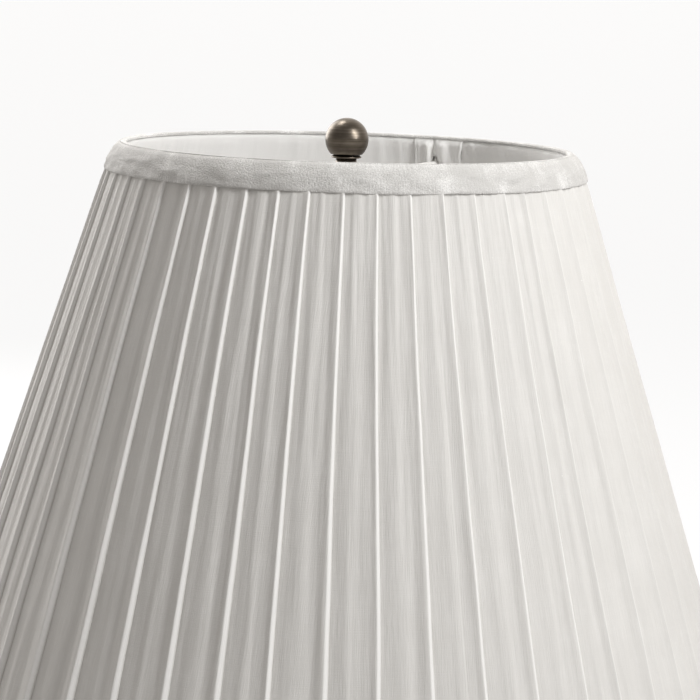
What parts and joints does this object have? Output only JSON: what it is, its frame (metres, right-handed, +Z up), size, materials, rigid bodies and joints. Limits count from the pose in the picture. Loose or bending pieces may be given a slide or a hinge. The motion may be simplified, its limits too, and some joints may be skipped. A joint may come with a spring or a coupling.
{
  "type": "lamp shade",
  "caption": "Large empire lamp shade with a knife-pleated linen cover, rolled self-fabric trims, fabric lining, recessed spider fitter and a ball finial.",
  "frame": {"origin": "on the plane that the bottom rim stands on, under the centre of the shade", "axes": "+Z up through the spider washer and the finial, -Y towards the front, +X to the right"},
  "size_m": [0.4568, 0.4568, 0.3293],
  "materials": {
    "linen": "off-white slub plain weave, matte",
    "lining": "off-white fine plain weave, soft sheen",
    "tape": "cotton binding tape, matte",
    "frame": "white powder coat on steel wire",
    "finial": "dark brushed pewter, lathe lines round the axis"
  },
  "bodies": {
    "shade": {"top_ring": "frame", "bottom_ring": "frame", "rib_1": "frame", "rib_2": "frame", "rib_3": "frame", "rib_4": "frame", "rib_5": "frame", "rib_6": "frame", "rib_7": "frame", "rib_8": "frame", "spider_arm_1": "frame", "spider_arm_2": "frame", "spider_arm_3": "frame", "spider_washer": "frame", "top_ring_tape": "tape", "bottom_ring_tape": "tape", "arm_neatener_1": "lining", "arm_neatener_2": "lining", "arm_neatener_3": "lining", "lining_half_1": "lining", "lining_half_2": "lining", "pleated_panel_1": "linen", "pleated_panel_2": "linen", "pleated_panel_3": "linen", "pleated_panel_4": "linen", "top_trim": "linen", "bottom_trim": "linen"},
    "finial": {"finial_ball": "finial", "finial_collar": "finial", "finial_foot": "finial", "finial_bush": "finial"}
  },
  "joints": [
    {"name": "finial_lift", "type": "slide", "parent": "shade", "child": "finial", "axis": [0, 0, 1], "range_m": [0, 0.04]}
  ]
}
